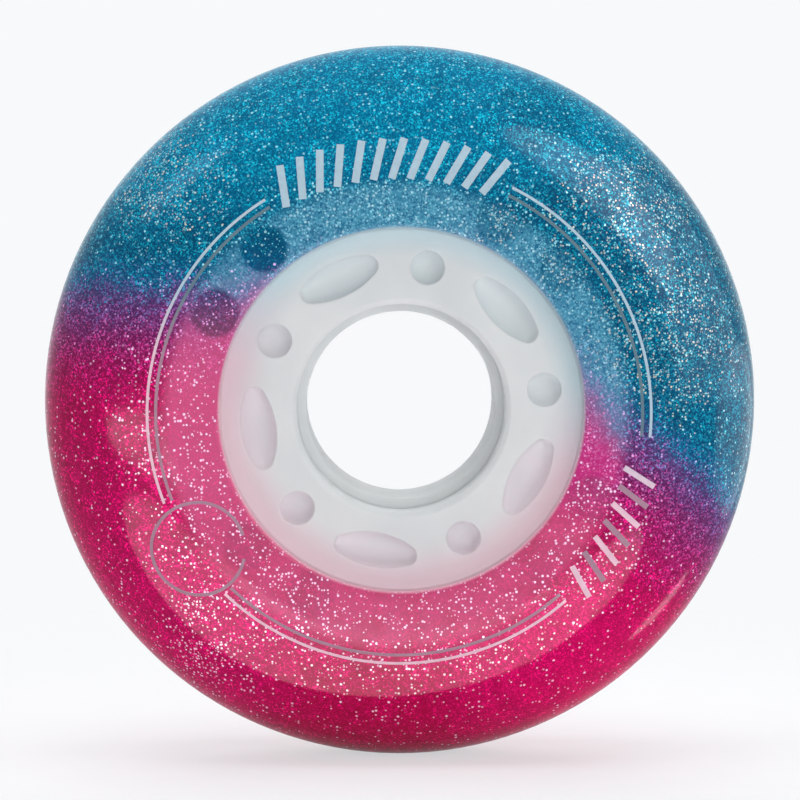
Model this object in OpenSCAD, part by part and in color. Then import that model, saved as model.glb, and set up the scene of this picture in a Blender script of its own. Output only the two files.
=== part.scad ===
// Inline skate wheel that lights up: a tyre of two colours, cast round a milky core.
// The core is two welded halves, closed over four light units. A unit is an iron pole piece,
// a bobbin, a copper winding and a lamp. The axle lies along Y, and the printed face looks to -Y.
// The modules are drawn with the axle along Z and the printed face up, and on_axle() turns them.

/* [Tyre] */
// Diameter over the tread
wheel_d = 76; // [72:1:84]
// Width at the widest place
tyre_w = 24; // [22.5:0.5:26]
// Radius of the tread's crown, across the wheel
crown_r = 10; // [8:0.5:10.5]
// Radius of the side walls, across the wheel
side_r = 15; // [14:0.5:20]
// Radius of the tyre's inner edge, beside the core
inner_edge_r = 0.6; // [0.3:0.1:0.9]
// Direction of the colour seam at the left, in degrees
seam_left = 161; // [160:1:170]
// Direction of the colour seam at the right, in degrees
seam_right = -13; // [-20:1:0]

/* [Bearing seats] */
// Outside diameter of the bearings, which is the seat's bore
seat_d = 22; // [20.5:0.5:24]
// Depth of a seat, from the core's face to the stop ring
seat_depth = 5; // [4:0.25:6]
// Width of the stop ring, which is the length of the bearing spacer
stop_w = 10; // [9:0.5:11]
// Bore of the stop ring
stop_d = 20; // [18.5:0.25:20.25]
// Chamfer at a seat's mouth
mouth_chamfer = 0.5; // [0.2:0.1:0.8]

/* [Core] */
// Diameter of the part of the core that shows
core_d = 38.2; // [37.8:0.1:39]
// Width of the rounded rise at the edge of the face
rise_w = 1.6; // [1.2:0.1:1.8]
// Height of that rise
rise_h = 0.6; // [0.3:0.1:1]
// Width of the fine bead at the very edge
bead_w = 0.4; // [0.3:0.1:0.6]
// Height of that bead
bead_h = 0.15; // [0.1:0.05:0.3]
// Diameter of the flange that is cast into the tyre
flange_d = 50.6; // [50:0.2:53]
// Thickness of the flange
flange_w = 8; // [7:0.5:10]
// Diameter of the flange's lock holes
lock_d = 4.5; // [3.5:0.1:4.7]
// Radius of the circle of lock holes
lock_pitch_r = 22; // [21.9:0.1:22.5]
// Angle between the two lock holes of a pair
lock_spread = 22; // [21:0.5:26]

/* [Face pockets] */
// Number of oval pockets, and of round ones, in each face
pocket_count = 5; // [3:1:6]
// Direction of the first round pocket, in degrees
pocket_start = 7.6; // [0:0.1:30]
// Radius of the circle of pockets
pocket_pitch_r = 15.1; // [14.6:0.1:15.2]
// Diameter of a round pocket
round_d = 3.6; // [2.8:0.1:3.7]
// Length of an oval pocket
oval_l = 8.8; // [7.5:0.1:9.2]
// Width of an oval pocket
oval_w = 3.7; // [3:0.1:3.8]
// Radius of an oval pocket's ends
oval_end_r = 1.1; // [0.8:0.1:1.2]

/* [Light units] */
// Direction of the first light unit, in degrees
unit_start = 52.5; // [40:0.5:60]
// Distance of a winding's own axis from the axle
coil_pitch_r = 14; // [13.8:0.1:14.4]
// Thickness of the square iron pole piece
pole_t = 1.6; // [1.4:0.1:1.8]
// Length of the pole piece, end to end
pole_l = 12; // [11:0.5:13]
// Height of the pole tips above the axle's level
pole_tip = 10.2; // [10.2:0.1:10.8]
// Diameter of the bobbin's end discs
bobbin_d = 5.6; // [5:0.1:5.8]
// Thickness of the bobbin's walls
bobbin_t = 0.4; // [0.3:0.1:0.6]
// Height of the bobbin's discs above the winding
disc_above = 0.2; // [0.1:0.1:0.4]
// Diameter of a lamp
lamp_d = 3; // [2.6:0.1:3]
// Length of a lamp, without its legs
lamp_l = 5; // [4:0.1:5.2]
// Diameter of the collar at a lamp's base
collar_d = 3.8; // [3.4:0.1:4]
// Thickness of that collar
collar_t = 1; // [0.6:0.1:1.2]
// Thickness of a lamp's wire legs
leg_d = 0.5; // [0.4:0.05:0.6]
// Distance between a lamp's two legs
leg_pitch = 2.54; // [2:0.02:2.6]

/* [Joint of the halves] */
// Diameter of the locating pegs
peg_d = 3; // [2:0.1:3.6]
// Length of the locating pegs
peg_l = 2.5; // [1.5:0.1:3]
// Radius of the circle of locating pegs
peg_pitch_r = 15.5; // [14:0.1:16.5]
// Play round the pegs and the light units
play = 0.1; // [0.05:0.01:0.2]

/* [Hidden] */
$fn = 128;
over = 1;
unit_count = 4;
unit_step = 360 / unit_count;
wheel_r = wheel_d / 2;
core_r = core_d / 2;
flange_r = flange_d / 2;
seat_r = seat_d / 2;
stop_r = stop_d / 2;
face_z = stop_w / 2 + seat_depth;

// The tyre's section is a crown arc between two side arcs, which touch it smoothly
crown_at = [wheel_r - crown_r, 0];
side_drop = side_r - tyre_w / 2;
side_step = side_r - crown_r;
side_at = crown_at - [sqrt(side_step ^ 2 - side_drop ^ 2), side_drop];
crown_ray = (crown_at - side_at) / side_step;

// The rise at the edge of the core's face is an arc that leaves the flat smoothly
rise_x = core_r - bead_w - rise_w;
rise_r = (rise_w ^ 2 + rise_h ^ 2) / (2 * rise_h);
bead_z = face_z + rise_h + bead_h;

// An oval pocket is a spindle with ball ends, whose axis lies in the core's face
ball_at = [0, oval_l / 2 - oval_end_r];
ball_step = oval_w / 2 - oval_end_r;
belly_r = (ball_at.y ^ 2 + ball_step ^ 2) / (2 * ball_step) + oval_end_r;
belly_at = [oval_w / 2 - belly_r, 0];
ball_ray = (ball_at - belly_at) / (belly_r - oval_end_r);

// Along the radius of a light unit come the winding, then the lamp's legs, collar and body
bobbin_l = pole_l - 2 * (pole_t + play);
tube_r = pole_t / sqrt(2) + play + bobbin_t;
winding_r = bobbin_d / 2 - disc_above;
winding_l = bobbin_l - 2 * bobbin_t;
collar_x = coil_pitch_r + bobbin_d / 2 + 2 * play;
leg_x = coil_pitch_r + winding_r + play;
dome_x = collar_x + lamp_l - lamp_d / 2;
tip_l = coil_pitch_r + pole_t / 2 - pole_tip;

unit_numbers = [1 : unit_count];

module on_axle() {
    rotate([90, 0, 0]) children();
}

// A light unit is drawn with X out from the axle and Y along its winding
module at_unit(i) {
    rotate([0, 0, unit_start + (i - 1) * unit_step]) children();
}

// The part of a disc between two rays from its centre, which are given as unit vectors
module sector(at, r, ray_a, ray_b, reach) {
    intersection() {
        translate(at) circle(r = r);
        polygon([at, at + reach * ray_a, at + reach * (ray_a + ray_b), at + reach * ray_b]);
    }
}

// Half of the tyre's section: the flat side with its rounded inner edge, and the side wall
// as far as the crown. It laps over the middle of the tyre and into the crown.
module side_section() {
    half_w = tyre_w / 2;
    flat_l = side_at.x - core_r - inner_edge_r;
    translate([core_r, -over]) square([inner_edge_r + over, half_w - inner_edge_r + over]);
    translate([core_r, half_w] + inner_edge_r * [1, -1]) circle(r = inner_edge_r);
    translate([core_r + inner_edge_r, -over]) square([flat_l, half_w + over]);
    intersection() {
        translate(side_at) circle(r = side_r);
        polygon([
            [side_at.x - over, -over],
            crown_at + [over, -over],
            crown_at + crown_r * crown_ray,
            crown_at + side_r * crown_ray,
            [side_at.x - over, tyre_w]
        ]);
    }
}

module tyre_section() {
    sector(crown_at, crown_r, [crown_ray.x, -crown_ray.y], crown_ray, side_r);
    for (side = [0, 1]) mirror([0, side]) side_section();
}

module lock_holes() {
    for (i = unit_numbers, side = [-1, 1])
        at_unit(i) rotate([0, 0, side * lock_spread / 2]) translate([lock_pitch_r, 0, 0])
            cylinder(d = lock_d, h = flange_w + 2 * over, center = true);
}

// One colour of the tyre. It fills the lock holes of the flange, so it can't slip on the core.
module tyre_arc(from, to) {
    on_axle() difference() {
        rotate([0, 0, from]) rotate_extrude(angle = to - from) tyre_section();
        difference() {
            cylinder(r = flange_r, h = flange_w, center = true);
            lock_holes();
        }
    }
}

module tyre_blue() {
    color("#0b6f9c") tyre_arc(seam_right, seam_left);
}

module tyre_pink() {
    color("#c8105f") tyre_arc(seam_left, seam_right + 360);
}

// Section of one core half: stop ring, bearing seat, face, rise, bead and flange
module core_section() {
    difference() {
        polygon([
            [stop_r, 0],
            [stop_r, stop_w / 2],
            [seat_r, stop_w / 2],
            [seat_r, face_z - mouth_chamfer],
            [seat_r + mouth_chamfer, face_z],
            [rise_x, face_z],
            [rise_x, face_z + rise_h],
            [core_r - bead_w, face_z + rise_h],
            [core_r - bead_w, bead_z],
            [core_r, bead_z],
            [core_r, flange_w / 2],
            [flange_r, flange_w / 2],
            [flange_r, 0]
        ]);
        translate([rise_x, face_z + rise_r]) circle(r = rise_r);
    }
}

module spindle_section() {
    reach = 2 * oval_w;
    intersection() {
        translate(belly_at) circle(r = belly_r);
        polygon([
            ball_at,
            ball_at + reach * ball_ray,
            [reach * ball_ray.x, -ball_at.y - reach * ball_ray.y],
            -ball_at
        ]);
    }
    for (side = [0, 1]) mirror([0, side]) sector(ball_at, oval_end_r, ball_ray, [0, 1], reach);
}

// Round and oval pockets by turns, all round the face
module face_pockets() {
    step = 360 / pocket_count;
    for (i = [0 : pocket_count - 1]) rotate([0, 0, pocket_start + i * step]) {
        translate([pocket_pitch_r, 0, face_z]) sphere(d = round_d);
        rotate([0, 0, step / 2]) translate([pocket_pitch_r, 0, face_z])
            rotate([90, 0, 0]) rotate_extrude() spindle_section();
    }
}

// The two ends of a pole piece, grown on every side
module pole_tips(grow) {
    for (side = [-1, 1])
        translate([pole_tip + tip_l / 2, side * (pole_l - pole_t) / 2, 0])
            cube([tip_l, pole_t, pole_t] + 2 * grow * [1, 1, 1], center = true);
}

// A bar along the radius of a light unit
module radial_bar(d, from, to) {
    translate([from, 0, 0]) rotate([0, 90, 0]) cylinder(d = d, h = to - from);
}

// A round-nosed lamp that points out of the wheel, grown on every side
module lamp_body(grow) {
    radial_bar(collar_d + 2 * grow, collar_x - grow, collar_x + collar_t + grow);
    radial_bar(lamp_d + 2 * grow, collar_x, dome_x);
    translate([dome_x, 0, 0]) sphere(d = lamp_d + 2 * grow);
}

// Room in the core for one light unit, with play all round
module unit_room() {
    pole_tips(play);
    translate([coil_pitch_r, 0, 0]) rotate([90, 0, 0])
        cylinder(d = bobbin_d + 2 * play, h = bobbin_l + 2 * play, center = true);
    radial_bar(collar_d + 2 * play, coil_pitch_r, collar_x + collar_t / 2);
    lamp_body(play);
}

module pegs(d, h, sunk) {
    for (i = unit_numbers)
        at_unit(i) rotate([0, 0, unit_step / 2]) translate([peg_pitch_r, 0, -sunk])
            cylinder(d = d, h = h + sunk);
}

module core_half() {
    difference() {
        rotate_extrude() core_section();
        lock_holes();
        face_pockets();
        for (i = unit_numbers) at_unit(i) unit_room();
    }
}

module core_front() {
    color("#d6dadd") on_axle() difference() {
        core_half();
        pegs(peg_d + 2 * play, peg_l, over);
    }
}

module core_rear() {
    color("#d6dadd") on_axle() {
        mirror([0, 0, 1]) core_half();
        pegs(peg_d, peg_l - play, over);
    }
}

// A square iron bar through the bobbin, whose two ends turn in towards the axle
module pole_piece(i) {
    color("#6b6e72") on_axle() at_unit(i) {
        translate([coil_pitch_r, 0, 0]) cube([pole_t, pole_l, pole_t], center = true);
        pole_tips(0);
    }
}

module bobbin(i) {
    hole = pole_t + 2 * play;
    color("#2b2b2e") on_axle() at_unit(i) translate([coil_pitch_r, 0, 0]) rotate([90, 0, 0])
        difference() {
            union() {
                cylinder(r = tube_r, h = bobbin_l, center = true);
                for (side = [-1, 1]) translate([0, 0, side * (bobbin_l - bobbin_t) / 2])
                    cylinder(d = bobbin_d, h = bobbin_t, center = true);
            }
            cube([hole, hole, bobbin_l + 2 * over], center = true);
        }
}

module winding(i) {
    color("#b4693a") on_axle() at_unit(i) translate([coil_pitch_r, 0, 0]) rotate([90, 0, 0])
        difference() {
            cylinder(r = winding_r, h = winding_l, center = true);
            cylinder(r = tube_r, h = winding_l + 2 * over, center = true);
        }
}

// The lamp's two legs reach in to the winding
module lamp(i) {
    color("#eef3f5") on_axle() at_unit(i) {
        lamp_body(0);
        for (side = [-1, 1]) translate([0, side * leg_pitch / 2, 0])
            radial_bar(leg_d, leg_x, collar_x + collar_t / 2);
    }
}

tyre_blue();
tyre_pink();
core_front();
core_rear();
for (i = unit_numbers) {
    pole_piece(i);
    bobbin(i);
    winding(i);
    lamp(i);
}
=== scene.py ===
import math

import bpy
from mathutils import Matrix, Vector


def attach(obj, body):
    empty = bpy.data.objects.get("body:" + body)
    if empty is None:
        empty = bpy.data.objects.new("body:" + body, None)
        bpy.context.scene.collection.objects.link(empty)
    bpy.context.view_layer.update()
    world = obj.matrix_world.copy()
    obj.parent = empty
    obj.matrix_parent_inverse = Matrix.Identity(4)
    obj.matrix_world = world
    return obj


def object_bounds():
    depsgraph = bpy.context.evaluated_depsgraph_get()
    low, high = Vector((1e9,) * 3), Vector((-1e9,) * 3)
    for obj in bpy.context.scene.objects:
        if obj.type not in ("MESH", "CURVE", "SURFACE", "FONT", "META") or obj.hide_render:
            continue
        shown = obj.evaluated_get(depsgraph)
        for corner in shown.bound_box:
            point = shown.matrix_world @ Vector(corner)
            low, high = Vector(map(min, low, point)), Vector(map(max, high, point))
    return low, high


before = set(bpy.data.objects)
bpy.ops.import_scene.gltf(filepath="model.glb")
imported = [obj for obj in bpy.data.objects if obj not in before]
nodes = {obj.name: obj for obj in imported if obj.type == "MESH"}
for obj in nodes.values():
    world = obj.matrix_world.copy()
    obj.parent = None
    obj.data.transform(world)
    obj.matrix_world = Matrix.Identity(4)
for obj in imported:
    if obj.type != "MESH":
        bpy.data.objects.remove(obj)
cad_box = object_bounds()


# The camera has a long lens, a little less than half a metre from the wheel. It stands slightly above
# the axle and to its left, so that the outline, the hole and the core's edge fall as in the photograph.
mm = 0.001
camera_away = 450 * mm
camera_rise = math.radians(4.75)
camera_turn = math.radians(-0.93)
aim = Vector((0.01 * mm, 0, 0.13 * mm))
outward = Vector((
    math.sin(camera_turn) * math.cos(camera_rise),
    -math.cos(camera_turn) * math.cos(camera_rise),
    math.sin(camera_rise),
))
bpy.ops.object.camera_add(location=aim + camera_away * outward)
camera = bpy.context.object
camera.rotation_euler = outward.to_track_quat("Z", "Y").to_euler()
camera.data.lens = 188.9
camera.data.sensor_width = 36
camera.data.clip_start = 0.01
bpy.context.scene.camera = camera


# The tyre is cast urethane in two colours, blue over pink, poured one after the other round the core,
# so that they run into each other along the seams. The clear resin is full of glitter flakes, and the
# mould leaves its skin glossy. The core's white flange shows through as a paler band by the core.
def linear(code):
    """An sRGB hex colour, as the linear RGBA that a socket takes."""
    parts = [int(code[i:i + 2], 16) / 255 for i in (1, 3, 5)]
    return [p / 12.92 if p <= 0.04045 else ((p + 0.055) / 1.055) ** 2.4 for p in parts] + [1]


def add(tree, kind, inputs, stops=(), **settings):
    """Adds a shader node. A node that is given as an input is linked by its first output."""
    made = tree.nodes.new("ShaderNode" + kind)
    for name, value in settings.items():
        setattr(made, name, value)
    for key, value in inputs.items():
        if isinstance(value, bpy.types.Node):
            value = value.outputs[0]
        if isinstance(value, bpy.types.NodeSocket):
            tree.links.new(value, made.inputs[key])
        else:
            made.inputs[key].default_value = value
    for i, (position, code) in enumerate(stops):
        ramp = made.color_ramp.elements
        stop = ramp[i] if i < 2 else ramp.new(position)
        stop.position = position
        stop.color = linear(code)
    return made


def place_in_mm(tree):
    """The place on a piece, in millimetres."""
    coordinates = add(tree, "TexCoord", {}).outputs["Object"]
    return add(tree, "VectorMath", {0: coordinates, "Scale": 1 / mm}, operation="SCALE")


def round_patch(tree, in_plane, x, z, reach, heart, most=1.0):
    """A soft round patch on the wheel's face, in mm. It begins at its reach and is full at its heart."""
    away = add(tree, "VectorMath", {0: in_plane, 1: (x, 0.0, z)}, operation="DISTANCE")
    return add(tree, "MapRange", {"Value": away.outputs["Value"], "From Min": reach, "From Max": heart,
                                  "To Max": most})


# Glitter urethane: dyed clear resin, deep in colour where it is thick, under a smooth glossy skin
urethane = bpy.data.materials.new("glitter_urethane")
urethane.use_nodes = True
tree = urethane.node_tree
place = place_in_mm(tree)
axes = add(tree, "SeparateXYZ", {0: place})
in_plane = add(tree, "VectorMath", {0: place, 1: (1, 0, 1)}, operation="MULTIPLY")
radius = add(tree, "VectorMath", {0: in_plane}, operation="LENGTH").outputs["Value"]

# The seam lies nearly level at the left and falls away at the right, and the pour makes it wander
seam_left = add(tree, "VectorMath", {0: place, 1: (0.10, 0.05, -1.0)}, operation="DOT_PRODUCT")
seam_right = add(tree, "VectorMath", {0: place, 1: (-0.71, 0.05, -0.74)}, operation="DOT_PRODUCT")
seam_left = add(tree, "Math", {0: seam_left.outputs["Value"], 1: 12.5}, operation="ADD")
seam_right = add(tree, "Math", {0: seam_right.outputs["Value"], 1: 13.3}, operation="ADD")
seam = add(tree, "Math", {0: seam_left, 1: seam_right}, operation="MINIMUM")
swirl = add(tree, "TexNoise", {"Vector": place, "Scale": 1 / 7, "Detail": 4.0, "Roughness": 0.6})
wander = add(tree, "Math", {0: swirl, 1: 5.0, 2: -2.5}, operation="MULTIPLY_ADD")
past_seam = add(tree, "Math", {0: seam, 1: wander}, operation="ADD")
pink = add(tree, "MapRange", {"Value": past_seam, "From Min": -8.0, "From Max": 9.0})
deep = add(tree, "ValToRGB", {0: pink}, stops=(
    (0.00, "#006089"), (0.13, "#045884"), (0.21, "#124f7c"), (0.28, "#42366a"), (0.35, "#522c64"),
    (0.47, "#62215a"), (0.60, "#741852"), (0.76, "#880d4b"), (1.00, "#9a0546")))
backed = add(tree, "ValToRGB", {0: pink}, stops=(
    (0.00, "#4696b4"), (0.20, "#5093b4"), (0.33, "#6c76a4"), (0.43, "#94568d"),
    (0.52, "#b04c87"), (0.62, "#c24b84"), (0.90, "#ca507b")))

# The blue is darker by the left seam and in one patch at the upper right
in_blue = add(tree, "MapRange", {"Value": past_seam, "From Min": -3.0, "From Max": -7.0})
dusk = add(tree, "MapRange", {"Value": seam_left, "From Min": -15.0, "From Max": -8.0})
upper_right = round_patch(tree, in_plane, 13.9, 30.0, 6.0, 2.0, 0.6)
dusk = add(tree, "Math", {0: dusk, 1: upper_right}, operation="MAXIMUM")
dusk = add(tree, "Math", {0: dusk, 1: in_blue}, operation="MULTIPLY")
deep = add(tree, "Mix", {0: dusk, 6: deep.outputs[0], 7: linear("#00466c")}, data_type="RGBA")

# The pink is painted darkest and reddest at the foot of the wheel, as painted shade,
# and brightest at the lower right, as a painted pool of light
painted_shade_at_foot = round_patch(tree, in_plane, -3.0, -34.0, 15.0, 6.0, 0.7)
painted_shade_at_foot = add(tree, "Math", {0: painted_shade_at_foot, 1: pink}, operation="MULTIPLY")
deep = add(tree, "Mix", {0: painted_shade_at_foot, 6: deep.outputs[2], 7: linear("#960034")}, data_type="RGBA")
painted_light_lower_right = round_patch(tree, in_plane, 18.0, -29.0, 14.0, 4.0)
full = add(tree, "MapRange", {"Value": pink, "From Min": 0.7})
painted_light_lower_right = add(tree, "Math", {0: painted_light_lower_right, 1: full}, operation="MULTIPLY")
deep = add(tree, "Mix", {0: painted_light_lower_right, 6: deep.outputs[2], 7: linear("#b2024e")}, data_type="RGBA")

# The pours are mottled by about 3 mm, and the pink is painted lighter downwards,
# as painted light from below
mottle = add(tree, "TexNoise", {"Vector": place, "Scale": 1 / 3, "Detail": 3.0})
mottle_and_painted_light = add(tree, "MapRange", {"Value": mottle, "From Min": 0.3, "From Max": 0.7,
                              "To Min": 1.2, "To Max": 0.92})
# Painted light from below: the pink is made lighter towards the bottom
painted_light_from_below = add(tree, "MapRange", {"Value": axes.outputs["Z"], "From Min": 6.0, "From Max": -24.0,
                              "To Min": 0.86, "To Max": 1.15})
painted_light_from_below = add(tree, "Mix", {0: pink, 2: 1.0, 3: painted_light_from_below})
mottle_and_painted_light = add(tree, "Math", {0: mottle_and_painted_light, 1: painted_light_from_below}, operation="MULTIPLY")
deep = add(tree, "VectorMath", {0: deep.outputs[2], "Scale": mottle_and_painted_light}, operation="SCALE")
mottle = add(tree, "MapRange", {"Value": mottle, "From Min": 0.45, "From Max": 0.7, "To Max": 0.4})
mottle = add(tree, "Math", {0: mottle, 1: pink}, operation="MULTIPLY")
backed = add(tree, "Mix", {0: mottle, 6: backed.outputs[0], 7: linear("#b53a55")}, data_type="RGBA")

# Two swirls of the pour over the flange, rich pink at the right and pale pink at the left: x, z and
# reach in mm, and colour
pour_swirls = ((20.5, -5.5, 8.0, "#c6267e"), (-21.0, -2.5, 13.0, "#d35787"))
over_pink = add(tree, "MapRange", {"Value": pink, "From Min": 0.38, "From Max": 0.55})
for x, z, reach, swirl_colour in pour_swirls:
    swirled = round_patch(tree, in_plane, x, z, reach, 0.4 * reach, 0.8)
    swirled = add(tree, "Math", {0: swirled, 1: over_pink}, operation="MULTIPLY")
    backed = add(tree, "Mix", {0: swirled, 6: backed.outputs[2], 7: linear(swirl_colour)},
                 data_type="RGBA")

# Flakes of the blue stand out dark against the flange, each by a chance of its own
speck_spacing = 0.26
speck = add(tree, "TexVoronoi", {"Vector": place, "Scale": 1 / speck_spacing}).outputs["Color"]
speck = add(tree, "SeparateColor", {0: speck}).outputs[0]
speck = add(tree, "Math", {0: speck, 1: 1.2}, operation="POWER")
over_blue = add(tree, "MapRange", {"Value": pink, "From Min": 0.4, "From Max": 0.15, "To Max": 0.85})
speck = add(tree, "Math", {0: speck, 1: over_blue}, operation="MULTIPLY")
backed = add(tree, "Mix", {0: speck, 6: backed.outputs[2], 7: linear("#0a5a86")}, data_type="RGBA")

# The flange backs the resin out to its edge, apart from its eight lock holes, which look dark. Through
# the resin the holes look larger, and both look a little out of place. Sizes are in mm.
flange_r = 25.3
flange_fade = 2.2
flange_shift = (-0.7, 0.0, -0.6)
lock_r = 22.0
lock_d = 5.0
lock_blur = 0.4
lock_shift = (0.25, 0.0, 0.4)
lock_turn = math.radians(52.5)
lock_half_spread = math.radians(11)
bent = add(tree, "VectorMath", {0: in_plane, 1: lock_shift}, operation="SUBTRACT")
bent_axes = add(tree, "SeparateXYZ", {0: bent})
bent_r = add(tree, "VectorMath", {0: bent}, operation="LENGTH").outputs["Value"]
angle = add(tree, "Math", {0: bent_axes.outputs["Z"], 1: bent_axes.outputs["X"]},
            operation="ARCTAN2")
angle = add(tree, "Math", {0: angle, 1: lock_turn}, operation="SUBTRACT")
angle = add(tree, "Math", {0: angle, 1: math.pi / 4, 2: -math.pi / 4}, operation="WRAP")
angle = add(tree, "Math", {0: angle}, operation="ABSOLUTE")
along = add(tree, "Math", {0: angle, 1: lock_r, 2: -lock_r * lock_half_spread},
            operation="MULTIPLY_ADD")
out = add(tree, "Math", {0: bent_r, 1: lock_r}, operation="SUBTRACT")
from_lock = add(tree, "CombineXYZ", {"X": along, "Y": out})
from_lock = add(tree, "VectorMath", {0: from_lock}, operation="LENGTH").outputs["Value"]
lock = add(tree, "MapRange", {"Value": from_lock, "From Min": lock_d / 2 + lock_blur,
                              "From Max": lock_d / 2 - lock_blur}, interpolation_type="SMOOTHSTEP")

# The holes are plainest at the upper left, fainter at the right and faintest in the pink
lock_shade = add(tree, "MapRange", {"Value": pink, "From Min": 0.33, "To Min": 1.0, "To Max": 0.15})
lock_shade = add(tree, "Math", {0: lock_shade, 1: lock}, operation="MULTIPLY")
side = add(tree, "MapRange", {"Value": axes.outputs["X"], "From Min": -8.0, "From Max": 8.0,
                              "To Min": 1.0, "To Max": 0.5})
lock_shade = add(tree, "Math", {0: lock_shade, 1: side}, operation="MULTIPLY")
flange = add(tree, "VectorMath", {0: in_plane, 1: flange_shift}, operation="DISTANCE").outputs["Value"]
flange = add(tree, "MapRange", {"Value": flange, "From Min": flange_r,
                                "From Max": flange_r - flange_fade}, interpolation_type="SMOOTHSTEP")
in_hole = add(tree, "Math", {0: lock_shade, 1: flange}, operation="MULTIPLY")
backing = add(tree, "Math", {0: 1.0, 1: lock_shade}, operation="SUBTRACT")
backing = add(tree, "Math", {0: backing, 1: flange}, operation="MULTIPLY")
body = add(tree, "Mix", {0: backing, 6: deep, 7: backed.outputs[2]}, data_type="RGBA")
ash = add(tree, "MapRange", {"Value": pink, "From Min": 0.25, "From Max": 0.7})
ash = add(tree, "Math", {0: ash, 1: in_hole}, operation="MULTIPLY")
body = add(tree, "Mix", {0: ash, 6: body.outputs[2], 7: linear("#6a5468")}, data_type="RGBA")

# At the core's edge the resin runs out thin over the white nylon, and the pale tint there is also
# painted light, which lifts the shade in the crease between tyre and core
core_r = 19.1
feather_and_crease_light = add(tree, "MapRange", {"Value": radius, "From Min": core_r + 0.25, "From Max": core_r,
                                 "To Max": 0.7}, interpolation_type="SMOOTHSTEP")
feather_and_crease_tint = add(tree, "ValToRGB", {0: pink}, stops=((0.0, "#b4d0dc"), (1.0, "#f4bccd")))

# The flakes lie in clusters, stirred by the pour. They are fainter in the lock holes, over the flange in
# the pink, where the blue is darker and under the painted shade at the foot, and the pale ones of the
# pink lie mostly towards the core.
cluster = add(tree, "TexNoise", {"Vector": place, "Scale": 1 / 2.5, "Detail": 2.0})
crowd = add(tree, "MapRange", {"Value": cluster, "From Min": 0.35, "From Max": 0.62, "To Min": 0.3})
eddy = add(tree, "TexNoise", {"Vector": place, "Scale": 1 / 1.4, "Detail": 2.0})
stir = add(tree, "MapRange", {"Value": eddy, "From Min": 0.3, "From Max": 0.7,
                              "To Min": 0.5, "To Max": 1.5})
calm = add(tree, "MapRange", {"Value": in_hole, "To Min": 1.0, "To Max": 0.4})
stir = add(tree, "Math", {0: stir, 1: calm}, operation="MULTIPLY")
calm = add(tree, "Math", {0: backing, 1: pink}, operation="MULTIPLY")
calm = add(tree, "MapRange", {"Value": calm, "To Min": 1.0, "To Max": 0.5})
stir = add(tree, "Math", {0: stir, 1: calm}, operation="MULTIPLY")
# The flakes are also painted fainter in the painted shade at the foot, and where the blue is darker
hush = add(tree, "Math", {0: dusk, 1: painted_shade_at_foot}, operation="MAXIMUM")
hush = add(tree, "MapRange", {"Value": hush, "To Min": 0.95, "To Max": 0.6})
stir = add(tree, "Math", {0: stir, 1: hush}, operation="MULTIPLY")
in_pink = add(tree, "MapRange", {"Value": past_seam, "From Min": -5.5, "From Max": 2.0})
by_core = add(tree, "MapRange", {"Value": radius, "From Min": 32.0, "From Max": 26.0, "To Min": 0.25})
low_left = round_patch(tree, in_plane, -20.0, -24.0, 8.5, 3.0, 1.5)
by_core = add(tree, "Math", {0: by_core, 1: low_left}, operation="MAXIMUM")
in_pink = add(tree, "Math", {0: in_pink, 1: by_core}, operation="MULTIPLY")

# In a few patches of the blue, where the lamps' gloss falls, bright flakes are painted in as painted
# glints: x, z and radius in mm
glint_patches = (
    (-24.4, 23.6, 7.5), (17.0, 14.8, 3.6), (10.2, 19.4, 3.0), (28.0, 8.0, 11.0), (23.0, 21.0, 9.0),
)
# The mask of the painted glints
flat = 0.0
for x, z, reach in glint_patches:
    glint_spot = round_patch(tree, in_plane, x, z, reach, 0.4 * reach)
    flat = add(tree, "Math", {0: flat, 1: glint_spot}, operation="MAXIMUM")
flat = add(tree, "Math", {0: flat, 1: in_blue}, operation="MULTIPLY")

# Flakes, by layer: where they lie, spacing and diameter in mm, share of the spaces that hold one, how
# rare the bright ones are, how strongly they show, how far they mirror, and their colours from blue to
# pink. The finest lie so close that they touch. A flake is 0.45 to 1.35 times its layer's diameter.
flake_rim = 0.07
paled = add(tree, "MapRange", {"Value": pink, "To Min": 0.3, "To Max": 0.1})
paled = add(tree, "Math", {0: paled, 1: backing}, operation="MULTIPLY")
flake_layers = (
    (1.0, 0.16, 0.50, 9.0, 3.2, stir, 0.04, (
        (0.0, "#12cdea"), (0.17, "#24b0da"), (0.31, "#8c7ccc"),
        (0.5, "#d45cb0"), (0.72, "#ff38a8"), (0.9, "#ff0c80"))),
    (in_blue, 0.34, 0.25, 0.9, 1.4, 0.95, 0.10, (
        (0.0, "#7cecfa"), (0.12, "#a8e8f2"))),
    # painted glints, in the patches where the lamps' gloss falls
    (flat, 0.27, 0.22, 1.2, 1.2, 0.90, 0.06, (
        (0.0, "#c4ecec"), (0.12, "#ece8d0"))),
    (in_pink, 0.34, 0.25, 0.85, 0.5, 1.00, 0.06, (
        (0.25, "#dcc8ff"), (0.68, "#ffa0e6"), (0.76, "#ffdcfa"))),
)
off_edge = add(tree, "MapRange", {"Value": radius, "From Min": core_r + 0.7, "From Max": core_r + 1.5})
colour = body.outputs[2]
leaf = 0.0
tilt = (0.0, 0.0, 0.0)
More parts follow.
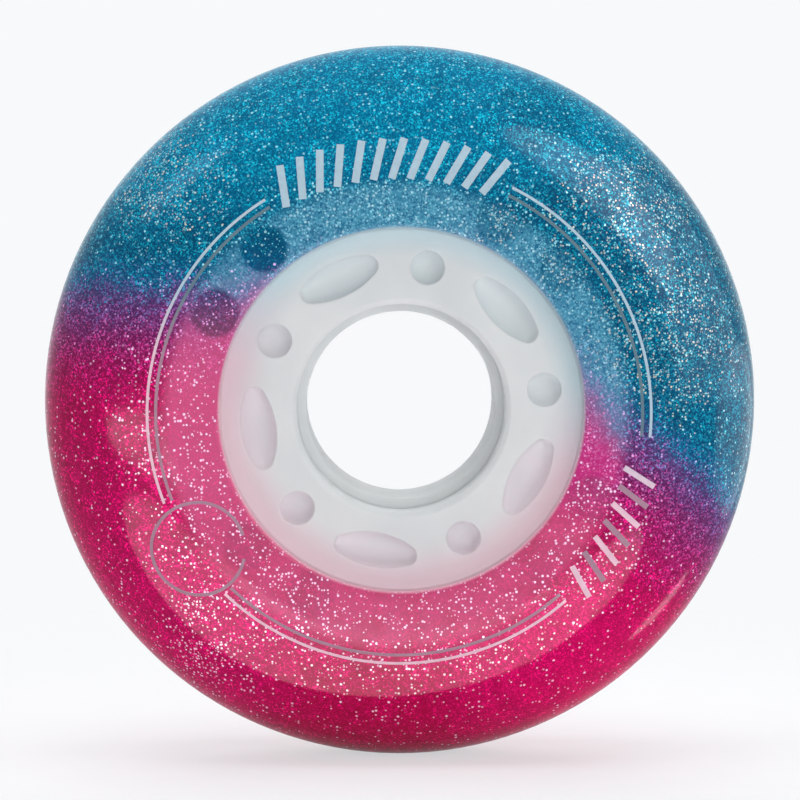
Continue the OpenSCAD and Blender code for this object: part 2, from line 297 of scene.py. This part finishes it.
for zone, spacing, diameter, share, rarity, strength, mirrored, tints in flake_layers:
    cells = add(tree, "TexVoronoi", {"Vector": place, "Scale": 1 / spacing})
    chance = add(tree, "SeparateColor", {0: cells.outputs["Color"]})
    size = add(tree, "Math", {0: chance.outputs[2], 1: 0.9, 2: 0.45}, operation="MULTIPLY_ADD")
    away = add(tree, "Math", {0: cells.outputs["Distance"], 1: size}, operation="DIVIDE")
    disc = add(tree, "MapRange", {"Value": away, "From Min": 0.5 * diameter / spacing,
                                  "From Max": 0.5 * (diameter - flake_rim) / spacing})
    filled = add(tree, "Math", {0: crowd, 1: share}, operation="MULTIPLY")
    filled = add(tree, "Math", {0: filled, 1: zone}, operation="MULTIPLY")
    kept = add(tree, "Math", {0: chance.outputs[0], 1: filled}, operation="LESS_THAN")
    glint = add(tree, "Math", {0: chance.outputs[1], 1: rarity}, operation="POWER")
    shift = add(tree, "Math", {0: chance.outputs[2], 1: 0.3, 2: -0.15}, operation="MULTIPLY_ADD")
    shift = add(tree, "Math", {0: shift, 1: pink}, operation="ADD")
    tint = add(tree, "ValToRGB", {0: shift}, stops=tints)
    tint = add(tree, "Mix", {0: paled, 6: tint.outputs[0], 7: linear("#e9e4ec")}, data_type="RGBA")
    amount = add(tree, "Math", {0: disc, 1: kept}, operation="MULTIPLY")
    amount = add(tree, "Math", {0: amount, 1: glint}, operation="MULTIPLY")
    amount = add(tree, "Math", {0: amount, 1: strength}, operation="MULTIPLY")
    colour = add(tree, "Mix", {0: amount, 6: colour, 7: tint.outputs[2]}, data_type="RGBA").outputs[2]
    lean = add(tree, "VectorMath", {0: cells.outputs["Color"], 1: (0.5, 0.5, 0.5)},
               operation="SUBTRACT")
    shine = add(tree, "Math", {0: amount, 1: mirrored}, operation="MULTIPLY")
    shine = add(tree, "Math", {0: shine, 1: off_edge}, operation="MULTIPLY")
    tilt = add(tree, "Mix", {0: shine, 4: tilt, 5: lean}, data_type="VECTOR").outputs[1]
    leaf = add(tree, "Math", {0: leaf, 1: shine}, operation="MAXIMUM")
# The pale edge by the core goes on last; it is partly painted light over the crease
colour = add(tree, "Mix", {0: feather_and_crease_light, 6: colour, 7: feather_and_crease_tint.outputs[0]}, data_type="RGBA")
colour = colour.outputs[2]

# A flake is part mirror, and each lies at its own slant under the skin
upright = add(tree, "NewGeometry", {}).outputs["Normal"]
slant = add(tree, "VectorMath", {0: tilt, 1: (0.9, 0.9, 0.9), 2: upright}, operation="MULTIPLY_ADD")
slant = add(tree, "VectorMath", {0: slant}, operation="NORMALIZE")
skin = tree.nodes["Principled BSDF"]
tree.links.new(leaf.outputs[0], skin.inputs["Metallic"])
tree.links.new(slant.outputs[0], skin.inputs["Normal"])
tree.links.new(colour, skin.inputs["Base Color"])
skin.inputs["Roughness"].default_value = 0.3
skin.inputs["IOR"].default_value = 1.5
skin.inputs["Specular IOR Level"].default_value = 0.0
skin.inputs["Coat Weight"].default_value = 0.1
skin.inputs["Coat Roughness"].default_value = 0.12
skin.inputs["Sheen Weight"].default_value = 0.8
skin.inputs["Sheen Roughness"].default_value = 0.3
skin.inputs["Sheen Tint"].default_value = linear("#dde4e4")
for name in ("tyre_blue", "tyre_pink"):
    nodes[name].data.materials.clear()
    nodes[name].data.materials.append(urethane)


# The core is two halves moulded in milky white nylon and welded together. Its faces are satin, and it
# lets a little light through: its edge takes on the tyre's colours. Its pockets are painted greyer, as
# painted shade in their hollows.
nylon = bpy.data.materials.new("milky_nylon")
nylon.use_nodes = True
tree = nylon.node_tree
place = place_in_mm(tree)
axes = add(tree, "SeparateXYZ", {0: place})
in_plane = add(tree, "VectorMath", {0: place, 1: (1, 0, 1)}, operation="MULTIPLY")
radius = add(tree, "VectorMath", {0: in_plane}, operation="LENGTH").outputs["Value"]

# The tyre's colours reach into its edge, blue above and pink below, and the pink reaches further in
fall = add(tree, "Math", {0: axes.outputs["X"], 1: 0.34, 2: axes.outputs["Z"]},
           operation="MULTIPLY_ADD")
pink = add(tree, "MapRange", {"Value": fall, "From Min": 9.0, "From Max": -1.0})
cast = add(tree, "ValToRGB", {0: pink}, stops=((0.0, "#b2cfd7"), (1.0, "#e2bcc8")))
start = add(tree, "MapRange", {"Value": pink, "To Min": 15.4, "To Max": 13.8})
edge = add(tree, "MapRange", {"Value": radius, "From Min": start, "From Max": core_r + 0.1,
                              "To Max": 0.75}, interpolation_type="SMOOTHSTEP")

# The pockets are painted greyer than the face, as painted shade in their hollows, and the bearing seat,
# nearer the axle, is not
core_face = 10.0
depth = add(tree, "Math", {0: axes.outputs["Y"]}, operation="ABSOLUTE")
pocket_shade = add(tree, "MapRange", {"Value": depth, "From Min": core_face - 0.05,
                              "From Max": core_face - 0.8, "To Max": 0.35})
face_only = add(tree, "MapRange", {"Value": radius, "From Min": 12.6, "From Max": 12.9})
pocket_shade = add(tree, "Math", {0: pocket_shade, 1: face_only}, operation="MULTIPLY")
cloud = add(tree, "TexNoise", {"Vector": place, "Scale": 1 / 6, "Detail": 2.0})
milky = add(tree, "ValToRGB", {0: cloud}, stops=((0.3, "#dcdfe0"), (0.7, "#e3e5e5")))
colour = add(tree, "Mix", {0: edge, 6: milky.outputs[0], 7: cast.outputs[0]}, data_type="RGBA")
colour = colour.outputs[2]
pocket_shade_tint = add(tree, "ValToRGB", {0: pink}, stops=((0.0, "#d8e4e8"), (1.0, "#ecdfe8")))
colour = add(tree, "Mix", {0: pocket_shade, 6: colour, 7: pocket_shade_tint.outputs[0]}, data_type="RGBA").outputs[2]
skin = tree.nodes["Principled BSDF"]
tree.links.new(colour, skin.inputs["Base Color"])

# Its edges are rounded by the mould, apart from the one that lies against the tyre
soft_edge = add(tree, "Bevel", {"Radius": 0.35 * mm}, samples=6)
by_tyre = add(tree, "MapRange", {"Value": radius, "From Min": core_r - 0.9, "From Max": core_r - 0.5})
flush = add(tree, "NewGeometry", {}).outputs["Normal"]
soft_edge = add(tree, "Mix", {0: by_tyre, 4: soft_edge, 5: flush}, data_type="VECTOR").outputs[1]
grain = add(tree, "TexNoise", {"Vector": place, "Scale": 1 / 0.25, "Detail": 2.0})
bump = add(tree, "Bump", {"Height": grain, "Normal": soft_edge, "Strength": 0.05,
                          "Distance": 0.02 * mm})
tree.links.new(bump.outputs[0], skin.inputs["Normal"])
satin = add(tree, "MapRange", {"Value": cloud, "To Min": 0.5, "To Max": 0.7})
tree.links.new(satin.outputs[0], skin.inputs["Roughness"])
skin.inputs["IOR"].default_value = 1.53
skin.inputs["Specular IOR Level"].default_value = 0.02
skin.inputs["Subsurface Weight"].default_value = 0.4
skin.inputs["Subsurface Radius"].default_value = (1.0, 1.0, 1.0)
skin.inputs["Subsurface Scale"].default_value = 1.5 * mm
for name in ("core_front", "core_rear"):
    nodes[name].data.materials.clear()
    nodes[name].data.materials.append(nylon)


# The print on the tyre's face is two thin rings, white outside grey, in three arcs. Slanted bars fill
# the breaks at the top and the right, and a plain grey circle the one at the lower left. It is
# pad-printed ink, a hair off the wheel's centre, and follows the curve of the side wall.
print_at = Vector((-0.25 * mm, -13 * mm, -0.3 * mm))
print_arcs = ((-5.5, 63.5), (122, 201), (226, 311.5))
ink_t = 0.02 * mm


def laid_on_tyre(piece):
    """Presses flat print on to the tyre's front wall, as a film of ink."""
    fold = piece.modifiers.new("on_the_wall", "SHRINKWRAP")
    fold.wrap_method = "PROJECT"
    fold.use_project_y = True
    fold.target = nodes["tyre_blue"]
    fold.auxiliary_target = nodes["tyre_pink"]
    film = piece.modifiers.new("ink_film", "SOLIDIFY")
    film.thickness = ink_t
    film.offset = 0
    bpy.context.view_layer.objects.active = piece
    bpy.ops.object.modifier_apply(modifier=fold.name)
    bpy.ops.object.modifier_apply(modifier=film.name)


def printed_ring(radius, width, centre, arcs):
    """A flat ring in front of the tyre, kept only within the given arcs in degrees."""
    bpy.ops.object.select_all(action="DESELECT")
    bpy.ops.mesh.primitive_circle_add(vertices=720, radius=radius + width / 2, location=centre,
                                      rotation=(math.pi / 2, 0, 0))
    ring = bpy.context.object
    bpy.ops.object.transform_apply(location=True, rotation=True, scale=True)
    bpy.ops.object.mode_set(mode="EDIT")
    bpy.ops.mesh.select_mode(type="EDGE")
    bpy.ops.mesh.select_all(action="SELECT")
    bpy.ops.mesh.extrude_edges_move()
    inward = (radius - width / 2) / (radius + width / 2)
    bpy.ops.transform.resize(value=(inward, inward, inward), center_override=centre)
    bpy.ops.mesh.select_mode(type="FACE")
    bpy.ops.object.mode_set(mode="OBJECT")
    for face in ring.data.polygons:
        turn = math.degrees(math.atan2(face.center.z - centre.z, face.center.x - centre.x))
        face.select = not any((turn - start) % 360 < stop - start for start, stop in arcs)
    bpy.ops.object.mode_set(mode="EDIT")
    bpy.ops.mesh.delete(type="FACE")
    bpy.ops.object.mode_set(mode="OBJECT")
    return ring


def printed_bars(first, last, count, radius, size, lean):
    """A row of equal slanted bars along the ring, from one direction to another in degrees."""
    turn = math.radians(first)
    centre = print_at + radius * Vector((math.cos(turn), 0, math.sin(turn)))
    bpy.ops.object.select_all(action="DESELECT")
    bpy.ops.mesh.primitive_grid_add(x_subdivisions=2, y_subdivisions=16, size=1, location=centre,
                                    rotation=(math.pi / 2, math.radians(90 - first + lean), 0))
    bars = bpy.context.object
    bars.scale = (size[0], size[1], 1)
    bpy.ops.object.transform_apply(location=True, rotation=True, scale=True)
    bpy.ops.object.mode_set(mode="EDIT")
    bpy.ops.mesh.select_all(action="SELECT")
    bpy.ops.mesh.spin(steps=count - 1, dupli=True, angle=math.radians(last - first), center=print_at,
                      axis=(0, 1, 0))
    bpy.ops.object.mode_set(mode="OBJECT")
    return bars


circle_turn = math.radians(214)
circle_at = print_at + 25.4 * mm * Vector((math.cos(circle_turn), 0, math.sin(circle_turn)))
circle_arc = ((17, 348),)
top_bar = (0.8 * mm, 4.4 * mm)
right_bar = (0.6 * mm, 3.8 * mm)
bar_lean = 18
print_parts = {
    "print_white": (
        printed_ring(26.32 * mm, 0.29 * mm, print_at, print_arcs),
        printed_bars(68, 117, 12, 26.6 * mm, top_bar, bar_lean),
        printed_bars(317, 345, 4, 26.0 * mm, right_bar, bar_lean),
    ),
    "print_grey": (
        printed_ring(25.42 * mm, 0.32 * mm, print_at, print_arcs),
        printed_ring(4.92 * mm, 0.34 * mm, circle_at, circle_arc),
        printed_bars(321.7, 340.3, 3, 26.0 * mm, right_bar, bar_lean),
    ),
}

# Pad-printing ink: a matt thin film, through which the tyre's colour shows a little. For each print, its
# colour on the blue and on the pink.
ink_shades = (
    ("print_white", "#b6d0de", "#f2cadb"),
    ("print_grey", "#678390", "#b28a9e"),
)
for name, on_blue, on_pink in ink_shades:
    ink = bpy.data.materials.new(name.replace("print", "ink"))
    ink.use_nodes = True
    tree = ink.node_tree
    place = place_in_mm(tree)
    axes = add(tree, "SeparateXYZ", {0: place})
    fall = add(tree, "Math", {0: axes.outputs["X"], 1: 0.3, 2: axes.outputs["Z"]},
               operation="MULTIPLY_ADD")
    below = add(tree, "MapRange", {"Value": fall, "From Min": 6.0, "From Max": -2.0})
    shade = add(tree, "ValToRGB", {0: below}, stops=((0.0, on_blue), (1.0, on_pink)))
    blotch = add(tree, "TexNoise", {"Vector": place, "Scale": 1 / 0.5, "Detail": 2.0})
    uneven = add(tree, "MapRange", {"Value": blotch, "From Min": 0.3, "From Max": 0.7,
                                    "To Min": 0.9, "To Max": 1.0})
    shade = add(tree, "VectorMath", {0: shade, "Scale": uneven}, operation="SCALE")
    skin = tree.nodes["Principled BSDF"]
    tree.links.new(shade.outputs[0], skin.inputs["Base Color"])
    skin.inputs["Roughness"].default_value = 0.6
    skin.inputs["IOR"].default_value = 1.5
    skin.inputs["Specular IOR Level"].default_value = 0.01
    parts = print_parts[name]
    bpy.ops.object.select_all(action="DESELECT")
    for part in parts:
        part.select_set(True)
    bpy.context.view_layer.objects.active = parts[0]
    bpy.ops.object.join()
    printed = bpy.context.object
    printed.name = name
    laid_on_tyre(printed)
    printed.data.materials.append(ink)
    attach(printed, "root")


# The pole pieces are square bars of soft iron, bent at both ends and zinc-plated. The magnet on the
# axle's spacer sweeps past their ends.
iron = bpy.data.materials.new("plated_iron")
iron.use_nodes = True
tree = iron.node_tree
place = place_in_mm(tree)
spangle = add(tree, "TexVoronoi", {"Vector": place, "Scale": 1 / 0.4})
plating = add(tree, "ValToRGB", {0: spangle.outputs["Color"]},
              stops=((0.0, "#8d9093"), (1.0, "#a9acae")))
dull = add(tree, "MapRange", {"Value": add(tree, "TexNoise", {"Vector": place, "Scale": 1 / 0.8}),
                              "To Min": 0.3, "To Max": 0.55})
skin = tree.nodes["Principled BSDF"]
tree.links.new(plating.outputs[0], skin.inputs["Base Color"])
tree.links.new(dull.outputs[0], skin.inputs["Roughness"])
skin.inputs["Metallic"].default_value = 1.0

# The bobbins are moulded in black glass-filled nylon, matt, with a faint grey fleck of fibre. Each sits
# round the middle of its pole piece.
black_nylon = bpy.data.materials.new("black_glass_nylon")
black_nylon.use_nodes = True
tree = black_nylon.node_tree
place = place_in_mm(tree)
fibre = add(tree, "TexNoise", {"Vector": place, "Scale": 1 / 0.15, "Detail": 3.0})
fleck = add(tree, "ValToRGB", {0: fibre}, stops=((0.5, "#232326"), (0.75, "#3a3a3e")))
bump = add(tree, "Bump", {"Height": fibre, "Strength": 0.2, "Distance": 0.01 * mm})
skin = tree.nodes["Principled BSDF"]
tree.links.new(fleck.outputs[0], skin.inputs["Base Color"])
tree.links.new(bump.outputs[0], skin.inputs["Normal"])
skin.inputs["Roughness"].default_value = 0.55

# The windings are fine enamelled copper wire, wound turn by turn along each bobbin. The turns are drawn
# 0.25 mm apart, wider than the real wire, so that they show.
wire_pitch = 0.25
copper = bpy.data.materials.new("enamelled_copper")
copper.use_nodes = True
tree = copper.node_tree
place = add(tree, "TexCoord", {}).outputs["Object"]
turned = add(tree, "Mapping", {"Vector": place, "Rotation": (0, lock_turn, 0),
                               "Scale": (1 / mm, 1 / mm, 1 / mm)})
sides = add(tree, "SeparateXYZ", {0: add(tree, "VectorMath", {0: turned}, operation="ABSOLUTE")})
along = add(tree, "Math", {0: sides.outputs["X"], 1: sides.outputs["Z"]}, operation="MINIMUM")
turns = add(tree, "Math", {0: along, 1: 2 * math.pi / wire_pitch}, operation="MULTIPLY")
turns = add(tree, "Math", {0: turns}, operation="SINE")
wire = add(tree, "MapRange", {"Value": turns, "From Min": -1.0})
# Painted shade between the turns and a painted highlight on the crest of each turn
turn_shade_and_highlight = add(tree, "ValToRGB", {0: wire}, stops=((0.0, "#6e3516"), (0.5, "#b0622f"), (1.0, "#c67c44")))
bump = add(tree, "Bump", {"Height": wire, "Strength": 0.8, "Distance": 0.06 * mm})
skin = tree.nodes["Principled BSDF"]
tree.links.new(turn_shade_and_highlight.outputs[0], skin.inputs["Base Color"])
tree.links.new(bump.outputs[0], skin.inputs["Normal"])
skin.inputs["Metallic"].default_value = 1.0
skin.inputs["Roughness"].default_value = 0.3
skin.inputs["Coat Weight"].default_value = 0.6

# The lamps are cast in clear epoxy with a faint milky haze. Their two tinned legs lie nearer the axle
# and reach in to the windings.
epoxy = bpy.data.materials.new("clear_epoxy")
epoxy.use_nodes = True
tree = epoxy.node_tree
place = place_in_mm(tree)
in_plane = add(tree, "VectorMath", {0: place, 1: (1, 0, 1)}, operation="MULTIPLY")
radius = add(tree, "VectorMath", {0: in_plane}, operation="LENGTH").outputs["Value"]
leg_end = 17.0
leg = add(tree, "MapRange", {"Value": radius, "From Min": leg_end, "From Max": leg_end - 0.02})
clear = add(tree, "Math", {0: 1.0, 1: leg}, operation="SUBTRACT")
haze = add(tree, "ValToRGB", {0: add(tree, "TexNoise", {"Vector": place, "Scale": 1.0})},
           stops=((0.3, "#eef4f6"), (0.7, "#fbfdfd")))
shade = add(tree, "Mix", {0: leg, 6: haze.outputs[0], 7: linear("#b9bbbd")}, data_type="RGBA")
skin = tree.nodes["Principled BSDF"]
tree.links.new(shade.outputs[2], skin.inputs["Base Color"])
tree.links.new(clear.outputs[0], skin.inputs["Transmission Weight"])
tree.links.new(leg.outputs[0], skin.inputs["Metallic"])
skin.inputs["Roughness"].default_value = 0.12
skin.inputs["IOR"].default_value = 1.54
unit_finishes = (("pole_piece", iron), ("bobbin", black_nylon), ("winding", copper), ("lamp", epoxy))
for kind, finish in unit_finishes:
    for number in range(1, 5):
        inner = nodes[f"{kind}_{number}"]
        inner.data.materials.clear()
        inner.data.materials.append(finish)


# The floor is a sheet of white paper that curves up behind the wheel, far off. Round the wheel it keeps
# the shadow, and further away it is the even white of the photograph's background.
paper_l = 6.0
paper_middle = (0, -1.0, cad_box[0][2])
paper_end = paper_l / 2 - 0.1
paper_rise = 3.0
paper_bend = 0.8
bpy.ops.object.select_all(action="DESELECT")
bpy.ops.mesh.primitive_plane_add(size=paper_l, location=paper_middle)
paper = bpy.context.object
paper.name = "paper_sweep"
bpy.ops.object.mode_set(mode="EDIT")
bpy.ops.mesh.select_mode(type="EDGE")
bpy.ops.mesh.select_all(action="DESELECT")
bpy.ops.object.mode_set(mode="OBJECT")
for edge_line in paper.data.edges:
    edge_line.select = all(paper.data.vertices[v].co.y > paper_end for v in edge_line.vertices)
bpy.ops.object.mode_set(mode="EDIT")
bpy.ops.mesh.extrude_region_move(TRANSFORM_OT_translate={"value": (0, 0, paper_rise)})
bpy.ops.object.mode_set(mode="OBJECT")
for edge_line in paper.data.edges:
    ends = [paper.data.vertices[v].co for v in edge_line.vertices]
    edge_line.select = all(e.y > paper_end and e.z < 0.1 for e in ends)
bpy.ops.object.mode_set(mode="EDIT")
bpy.ops.mesh.bevel(offset=paper_bend, segments=16)
bpy.ops.mesh.select_all(action="SELECT")
bpy.ops.mesh.normals_make_consistent(inside=False)
bpy.ops.object.mode_set(mode="OBJECT")
bpy.ops.object.transform_apply(location=True, rotation=True, scale=True)
bpy.ops.object.shade_smooth()


def background_rays(tree):
    """1 for the rays that show the background: from the camera, mirrored, or through something clear."""
    ray = add(tree, "LightPath", {})
    seen = add(tree, "Math", {0: ray.outputs["Is Camera Ray"], 1: ray.outputs["Is Glossy Ray"]},
               operation="MAXIMUM")
    return add(tree, "Math", {0: seen, 1: ray.outputs["Is Transmission Ray"]}, operation="MAXIMUM")


# Matt paper, faintly uneven by its fibres
background_white = linear("#f8f9fb")
white_paper = bpy.data.materials.new("white_paper")
white_paper.use_nodes = True
tree = white_paper.node_tree
place = add(tree, "TexCoord", {}).outputs["Object"]
away = add(tree, "VectorMath", {0: place, 1: (0, 0, cad_box[0][2])}, operation="DISTANCE")
even = add(tree, "MapRange", {"Value": away.outputs["Value"], "From Min": 10 * mm, "From Max": 120 * mm,
                              "To Min": 0.6, "To Max": 1.0}, interpolation_type="SMOOTHSTEP")
seen = add(tree, "Math", {0: background_rays(tree), 1: even}, operation="MULTIPLY")
fibre = add(tree, "TexNoise", {"Vector": place, "Scale": 1 / (4 * mm), "Detail": 3.0})
sheet_white = add(tree, "ValToRGB", {0: fibre}, stops=((0.3, "#f3f4f6"), (0.7, "#f6f7f9")))
skin = tree.nodes["Principled BSDF"]
tree.links.new(sheet_white.outputs[0], skin.inputs["Base Color"])
skin.inputs["Roughness"].default_value = 0.9
skin.inputs["Specular IOR Level"].default_value = 0.0
white = add(tree, "Emission", {"Color": background_white, "Strength": 1.0})
shown = add(tree, "MixShader", {0: seen, 1: skin, 2: white})
tree.links.new(shown.outputs[0], tree.nodes["Material Output"].inputs["Surface"])
paper.data.materials.append(white_paper)


# Soft studio light: wide boxes in front, overhead and behind light the wheel and the paper evenly. The
# others are only seen in the gloss: panels at the right and the left, low cards and a strip by the rim.
# For each lamp: where it stands and what it faces in mm, roll in degrees, size in mm, brightness.
lamps = (
    ("key_box", "diffuse", (260, -840, 170), (0, 0, 0), 0, (900, 700), 1.6),
    ("overhead_box", "diffuse", (0, -40, 700), (0, -40, 0), 0, (700, 500), 2.6),
    ("back_box", "diffuse", (0, 650, 400), (0, 0, 0), 0, (800, 600), 2.2),
    ("right_gloss_wide", "gloss", (386, -300, 348), (0, 0, 0), -48, (470, 400), 8.5),
    ("right_gloss", "gloss", (386, -300, 348), (0, 0, 0), -48, (390, 300), 6.0),
    ("right_veil", "gloss", (700, -150, 100), (0, 0, 0), 0, (1000, 1200), 4.5),
    ("left_gloss", "gloss", (-450, -150, 420), (0, 0, 0), 45, (260, 160), 5.5),
    ("low_left_gloss", "gloss", (-108, -137, -25), (-27, -11, -10), 0, (150, 24), 13.0),
    ("low_right_gloss", "gloss", (92, 18, -12), (36, -6, -6), 0, (84, 48), 4.5),
    ("low_gloss", "gloss", (-14, -67, -37), (-14, -67, 1000), 0, (152, 106), 11.0),
    ("rim_gloss", "gloss", (39.8, -4.2, -32.0), (27.6, -6.7, -22.2), 0, (2.5, 14), 14.0),
)
for name, use, stand, target, roll, (wide, high), brightness in lamps:
    bpy.ops.object.light_add(type="AREA", location=Vector(stand) * mm)
    lamp = bpy.context.object
    lamp.name = name
    lamp.rotation_euler = (Vector(stand) - Vector(target)).to_track_quat("Z", "Y").to_euler()
    lamp.rotation_euler.rotate_axis("Z", math.radians(roll))
    lamp.data.shape = "ELLIPSE" if use == "gloss" else "RECTANGLE"
    lamp.data.size = wide * mm
    lamp.data.size_y = high * mm
    lamp.data.energy = brightness * 4 * lamp.data.size * lamp.data.size_y
    lamp.visible_diffuse = use == "diffuse"
    lamp.visible_glossy = use == "gloss"

# The room gives a faint light all round, and is white where it is seen
room = bpy.data.worlds.new("white_room")
room.use_nodes = True
tree = room.node_tree
level = add(tree, "MapRange", {"Value": background_rays(tree), "To Min": 0.2, "To Max": 1.0})
wall = tree.nodes["Background"]
wall.inputs["Color"].default_value = background_white
tree.links.new(level.outputs[0], wall.inputs["Strength"])
bpy.context.scene.world = room
bpy.context.scene.view_settings.view_transform = "Standard"
